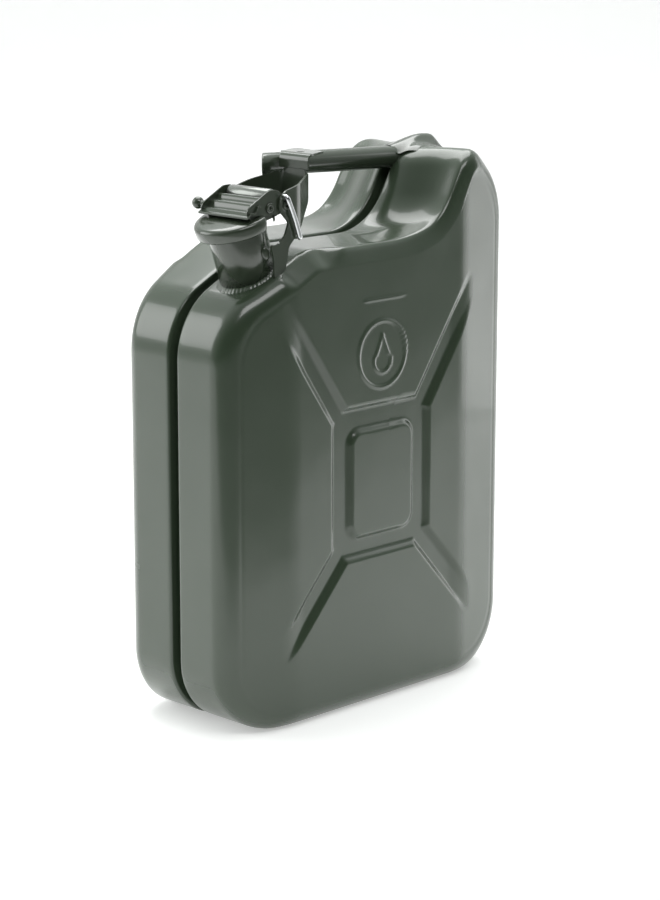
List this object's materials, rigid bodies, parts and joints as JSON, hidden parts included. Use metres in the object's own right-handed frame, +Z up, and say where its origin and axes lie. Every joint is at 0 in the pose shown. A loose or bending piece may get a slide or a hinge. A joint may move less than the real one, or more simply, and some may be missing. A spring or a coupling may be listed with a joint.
{
  "type": "jerry can",
  "caption": "Pressed steel fuel can of two welded half shells with a sunk cross pattern, a tilted filler neck under a lever-locked cap, a wire locking pin and one tubular carrying handle.",
  "frame": {"origin": "on the ground under the middle of the can's bounding box", "axes": "+X towards the rear, away from the filler neck; +Y towards the plain big side; +Z up"},
  "size_m": [0.29, 0.125, 0.4026],
  "materials": {
    "olive_paint": "glossy olive green enamel",
    "bright_steel": "plain drawn steel tube",
    "zinc_wire": "bright zinc plated wire",
    "black_rubber": "matt black moulded rubber"
  },
  "bodies": {
    "can": {"plain_side_shell": "olive_paint", "neck_side_shell": "olive_paint", "seam_weld": "olive_paint", "filler_neck": "olive_paint", "neck_weld": "olive_paint", "air_pipe": "bright_steel", "neck_lug_outer": "olive_paint", "neck_lug_inner": "olive_paint", "closure_bracket": "olive_paint", "hinge_rivet_inner": "olive_paint", "hinge_rivet_outer": "olive_paint", "handle_tube": "olive_paint", "handle_saddle": "olive_paint"},
    "lever": {"lever": "olive_paint", "lever_roll": "olive_paint", "roll_pin": "olive_paint", "lever_knob": "olive_paint", "link_rivet_inner": "olive_paint", "link_rivet_outer": "olive_paint"},
    "cap": {"cap": "olive_paint", "cap_gasket": "black_rubber"},
    "locking_pin": {"locking_pin": "zinc_wire"}
  },
  "joints": [
    {"name": "lever_hinge", "type": "hinge", "parent": "can", "child": "lever", "pos_m": [-0.0845, -0.026, 0.3715], "axis": [0, 1, 0], "range_deg": [0, 95]},
    {"name": "cap_hinge", "type": "hinge", "parent": "can", "child": "cap", "pos_m": [-0.0845, -0.026, 0.3715], "axis": [0, 1, 0], "range_deg": [0, 90]},
    {"name": "pin_slide", "type": "slide", "parent": "can", "child": "locking_pin", "axis": [0, -1, 0], "range_m": [0, 0.012]}
  ],
  "couplings": [
    {"joint": "cap_hinge", "follows": "lever_hinge", "ratio": 0.92}
  ]
}
